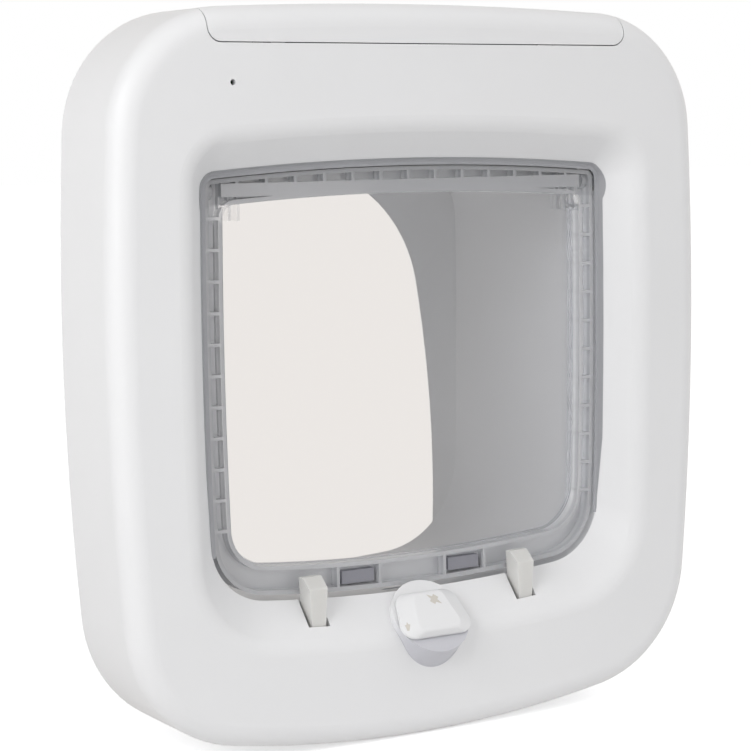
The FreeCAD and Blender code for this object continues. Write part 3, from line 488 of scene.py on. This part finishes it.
FINISHES = {
    "case_plastic": case_plastic("case_plastic_grain"),
    "clear_plastic": clear_flap(),
    "fork_plastic": milky_plastic("milky_fork", srgb(222, 221, 218), 0.3),
    "inner_plastic": moulded_plastic("inner_plastic", srgb(205, 205, 203),
                                     srgb(198, 198, 196), 0.5, 0.1, 0.5),
    "foam_rubber": foam("black_foam", srgb(40, 40, 42)),
    "coil_copper": winding("copper_winding", srgb(196, 104, 56)),
    # Ferrite painted lighter than bare ferrite, as painted light against the shade of its deep
    # pocket
    "ferrite_magnet": moulded_plastic("ferrite", srgb(146, 146, 154),
                                      srgb(134, 134, 142), 0.4, 0.3, 0.5),
    "steel": metal("zinc_plated_steel", srgb(186, 187, 190), 0.28, 0.2),
    "solenoid_metal": metal("solenoid_frame", srgb(170, 172, 176), 0.35, 0.2),
    "battery_sleeve": moulded_plastic("battery_sleeve", srgb(52, 56, 62),
                                      srgb(44, 48, 54), 0.8, 0.05, 0.25),
    "board_green": circuit("board_mask", srgb(24, 92, 52), srgb(52, 132, 78)),
    "chip_black": moulded_plastic("chip_black", srgb(36, 36, 38),
                                  srgb(30, 30, 32), 0.3, 0.2, 0.55),
    "led_lens": clear_plastic("lamp_lens", (0.95, 0.96, 0.94, 1.0), 0.05),
}
# The seal's grey, partly painted shade for the dark line at the window's edge
SEAL_PARTLY_PAINTED_SHADE = milky_plastic("soft_seal_and_painted_shade", srgb(172, 173, 178), 0.35)
SIGN_INK = printed("sign_ink", srgb(206, 201, 193))


def finished(name, shape, material):
    """A piece from a finished shape, linked into the scene."""
    mesh = bpy.data.meshes.new(name)
    shape.to_mesh(mesh)
    shape.free()
    mesh.materials.append(material)
    piece = bpy.data.objects.new(name, mesh)
    bpy.context.scene.collection.objects.link(piece)
    return piece


def thickened(sheet, wall):
    """Gives an open sheet a thickness along Y, with its normals outward."""
    bmesh.ops.recalc_face_normals(sheet, faces=sheet.faces)
    back = bmesh.ops.extrude_face_region(sheet, geom=sheet.faces[:])
    bmesh.ops.translate(sheet, vec=(0, wall, 0), verts=[
        v for v in back["geom"] if isinstance(v, bmesh.types.BMVert)])
    bmesh.ops.recalc_face_normals(sheet, faces=sheet.faces)


def arrow_sign(name, x, up, turn, length, heads):
    """A flat arrow printed on the knob, with a head at one end or at both."""
    half, neck = length / 2, length * ARROW_NECK
    shaft, head = length * ARROW_SHAFT, length * ARROW_HEAD
    outline = []
    for side in (1, -1):
        ends = ([(neck, -shaft), (neck, -head), (half, 0.0), (neck, head), (neck, shaft)]
                if side in heads else [(half, -shaft), (half, shaft)])
        outline += [(side * along, side * across) for along, across in ends]
    sign = bmesh.new()
    bmesh.ops.contextual_create(sign, geom=[sign.verts.new((*p, 0.0)) for p in outline])
    bmesh.ops.triangulate(sign, faces=sign.faces)
    bmesh.ops.subdivide_edges(sign, edges=sign.edges, cuts=1, use_grid_fill=True)
    bmesh.ops.rotate(sign, verts=sign.verts, cent=(0, 0, 0),
                     matrix=Matrix.Rotation(math.radians(turn), 3, "Z"))
    knob = frame["nodes"]["lock_knob"]
    for corner in sign.verts:
        above = (KNOB_BASE + Vector((x + corner.co.x, 0, 0)) + KNOB_UP * (up + corner.co.y)
                 + KNOB_OUT * ARROW_START)
        found, place, _, _ = knob.ray_cast(above, -KNOB_OUT)
        assert found, "the sign reaches past the knob"
        corner.co = place + KNOB_OUT * ARROW_LIFT
    bmesh.ops.recalc_face_normals(sign, faces=sign.faces)
    if sum(face.normal.dot(KNOB_OUT) for face in sign.faces) < 0:
        bmesh.ops.reverse_faces(sign, faces=sign.faces)
    return finished(name, sign, SIGN_INK)


def top_rib():
    """A thin rib across the tunnel's top, close behind the flap's top edge."""
    rib = bmesh.new()
    bmesh.ops.create_grid(rib, x_segments=RIB_STEPS[0], y_segments=RIB_STEPS[1], size=1.0, matrix=(
        Matrix.Translation((0, RIB_FRONT, RIB_TOP - RIB_HEIGHT / 2))
        @ Matrix.Rotation(math.pi / 2, 4, "X")
        @ Matrix.Diagonal((RIB_HALF, RIB_HEIGHT / 2, 1.0, 1.0))))
    for corner in rib.verts:
        corner.co.z -= corner.co.x ** 2 / (2 * FLAP_TOP_BOW)
    thickened(rib, RIB_WALL)
    return finished("top_rib", rib, FINISHES["inner_plastic"])


def seal_place(along, out):
    """A point beside the window's edge: its way from the middle of the top, and outward."""
    side, far = math.copysign(1.0, along), abs(along)
    shoulder_z = WINDOW_TOP - WINDOW_HALF ** 2 / (2 * FLAP_TOP_BOW)
    corner_x = (WINDOW_HALF - (shoulder_z - FLAP_WIDEST_Z) ** 2 / (2 * FLAP_SIDE_BOW)
                - WINDOW_CORNER)
    corner_z = WINDOW_TOP - corner_x ** 2 / (2 * FLAP_TOP_BOW) - WINDOW_CORNER
    turn = (far - corner_x) / WINDOW_CORNER
    if turn <= 0:
        return side * far, WINDOW_TOP - far ** 2 / (2 * FLAP_TOP_BOW) + out
    if turn <= math.pi / 2:
        reach = WINDOW_CORNER + out
        return side * (corner_x + reach * math.sin(turn)), corner_z + reach * math.cos(turn)
    z = corner_z - (turn - math.pi / 2) * WINDOW_CORNER
    return side * (WINDOW_HALF - (z - FLAP_WIDEST_Z) ** 2 / (2 * FLAP_SIDE_BOW) + out), z


def window_seal():
    """A thin soft seal on the funnel's inner edge, with a lobe beside each pivot; its grey is
    partly painted shade, and its inner band lies over the dark gap behind the edge as painted
    shade.
    """
    reach = WINDOW_HALF + WINDOW_TOP - SEAL_FOOT
    seal = bmesh.new()
    bmesh.ops.create_grid(seal, x_segments=SEAL_STEPS[0], y_segments=SEAL_STEPS[1], size=1.0)
    cover = frame["nodes"]["front_cover"]
    for corner in seal.verts:
        along, share = corner.co.x * reach, (corner.co.y + 1) / 2
        edge_z = seal_place(along, 0.0)[1]
        width = SEAL_BACK * min(1.0, max(0.0, (edge_z - SEAL_FOOT) / SEAL_TAPER))
        width += LOBE_OUT * max(0.0, 1.0 - ((edge_z - LOBE_Z) / LOBE_REACH) ** 2)
        # Inside the edge the band lies over the gap as painted shade
        out = share * (SEAL_OVER_GAP_PAINTED_SHADE + width) - SEAL_OVER_GAP_PAINTED_SHADE
        x, z = seal_place(along, out)
        found, wall, _, _ = cover.ray_cast((x, cad_box[0][1], z), (0, 1, 0))
        y = min(wall.y, LIP_Y) if found and out > 0 else LIP_Y
        corner.co = (x, y - SEAL_WALL * SEAL_PROUD, z)
    thickened(seal, SEAL_WALL)
    return finished("window_seal", seal, SEAL_PARTLY_PAINTED_SHADE)


def fittings():
    """The small pieces of the case that the solids leave out."""
    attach(top_rib(), "case")
    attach(window_seal(), "case")


def knob_signs():
    """Generic arrows on the knob's face and left bevel, for its lock positions."""
    for name, drawing in KNOB_SIGNS.items():
        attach(arrow_sign(name, *drawing), "knob")


def finish_nodes():
    """Each CAD node's finish, by its slot; the front cover has its own, with painted shade on the
    knob's seat.
    """
    slots = {s["node"]: s["material_slot"] for s in frame["record"]["subparts"]}
    own = {"front_cover": case_plastic("front_cover_plastic", painted_seat_shade)}
    for name, node in frame["nodes"].items():
        node.data.materials.clear()
        node.data.materials.append(own.get(name, FINISHES[slots[name]]))


def floor_material():
    """Pale floor that is white to the camera and keeps the object's shadow."""
    f = Finish("pale_floor")
    rays = f.node("ShaderNodeLightPath", output="Is Camera Ray")
    matte = f.node("ShaderNodeBsdfDiffuse", {}, {"Color": FLOOR_TONE})
    lift = f.node("ShaderNodeEmission", {}, {"Strength": rays * FLOOR_LIFT})
    seen = f.node("ShaderNodeAddShader", {}, {0: matte, 1: lift})
    flat = f.node("ShaderNodeEmission", {}, {"Color": BACKDROP})
    return f.close(f.mix(f.seen_through(), seen, flat))


def make_stage():
    """A wide floor just under the object."""
    sheet = bmesh.new()
    bmesh.ops.create_grid(sheet, x_segments=1, y_segments=1, size=FLOOR_HALF)
    bmesh.ops.translate(sheet, verts=sheet.verts, vec=(0, 0, cad_box[0][2]))
    finished("floor", sheet, floor_material())


def make_world():
    """White to the camera, and a plain fill, stronger from the right, across from the key."""
    world = bpy.data.worlds.new("studio")
    bpy.context.scene.world = world
    f = Finish.of_world(world)
    rays = f.node("ShaderNodeLightPath", output="Is Camera Ray")
    way = f.node("ShaderNodeTexCoord", output="Generated")
    depth = f.node("ShaderNodeSeparateXYZ", {}, {0: way}, output="Y")
    behind = f.node("ShaderNodeMapRange", {"interpolation_type": "SMOOTHSTEP"}, {
        "Value": depth, "From Min": 0.0, "From Max": SKY_BACK_FROM,
        "To Min": 1.0, "To Max": SKY_BACK})
    lean = f.vector("DOT_PRODUCT", way, SKY_WAY, output="Value")
    fill, warm, white = (f.node("ShaderNodeBackground", {}, inputs) for inputs in (
        {"Color": (1, 1, 1, 1), "Strength": (lean * SKY_TILT + SKY_LEVEL) * behind},
        {"Color": BACKDROP}, {"Color": (1, 1, 1, 1)}))
    through = f.seen_through()
    f.close(f.mix(rays * (1.0 - through), f.mix(through, fill, warm), white))


def area_light(name, place, size, watts):
    """A square lamp that looks at the object."""
    lamp = bpy.data.lights.new(name, "AREA")
    lamp.shape = "SQUARE"
    lamp.size = size
    lamp.energy = watts
    holder = bpy.data.objects.new(name, lamp)
    holder.location = place
    holder.rotation_euler = (-Vector(place)).to_track_quat("-Z", "Y").to_euler()
    bpy.context.scene.collection.objects.link(holder)


def make_camera():
    lens = bpy.data.cameras.new("camera")
    lens.sensor_width = SENSOR_MM
    lens.lens = SENSOR_MM * FOCAL_PX / PHOTO_SIDE
    lens.clip_start = 0.01
    camera = bpy.data.objects.new("camera", lens)
    tilt = (Matrix.Rotation(math.radians(-CAMERA_TURN), 4, "Z")
            @ Matrix.Rotation(math.radians(90.0 - CAMERA_DROP), 4, "X")
            @ Matrix.Rotation(math.radians(CAMERA_ROLL), 4, "Z"))
    camera.matrix_world = Matrix.Translation(CAMERA_PLACE) @ tilt
    bpy.context.scene.collection.objects.link(camera)
    bpy.context.scene.camera = camera


finish_nodes()
knob_signs()
fittings()
make_stage()
make_world()
area_light("key", KEY_PLACE, KEY_SIZE, KEY_WATTS)
area_light("top", TOP_PLACE, TOP_SIZE, TOP_WATTS)
make_camera()
bpy.context.scene.view_settings.view_transform = "Standard"
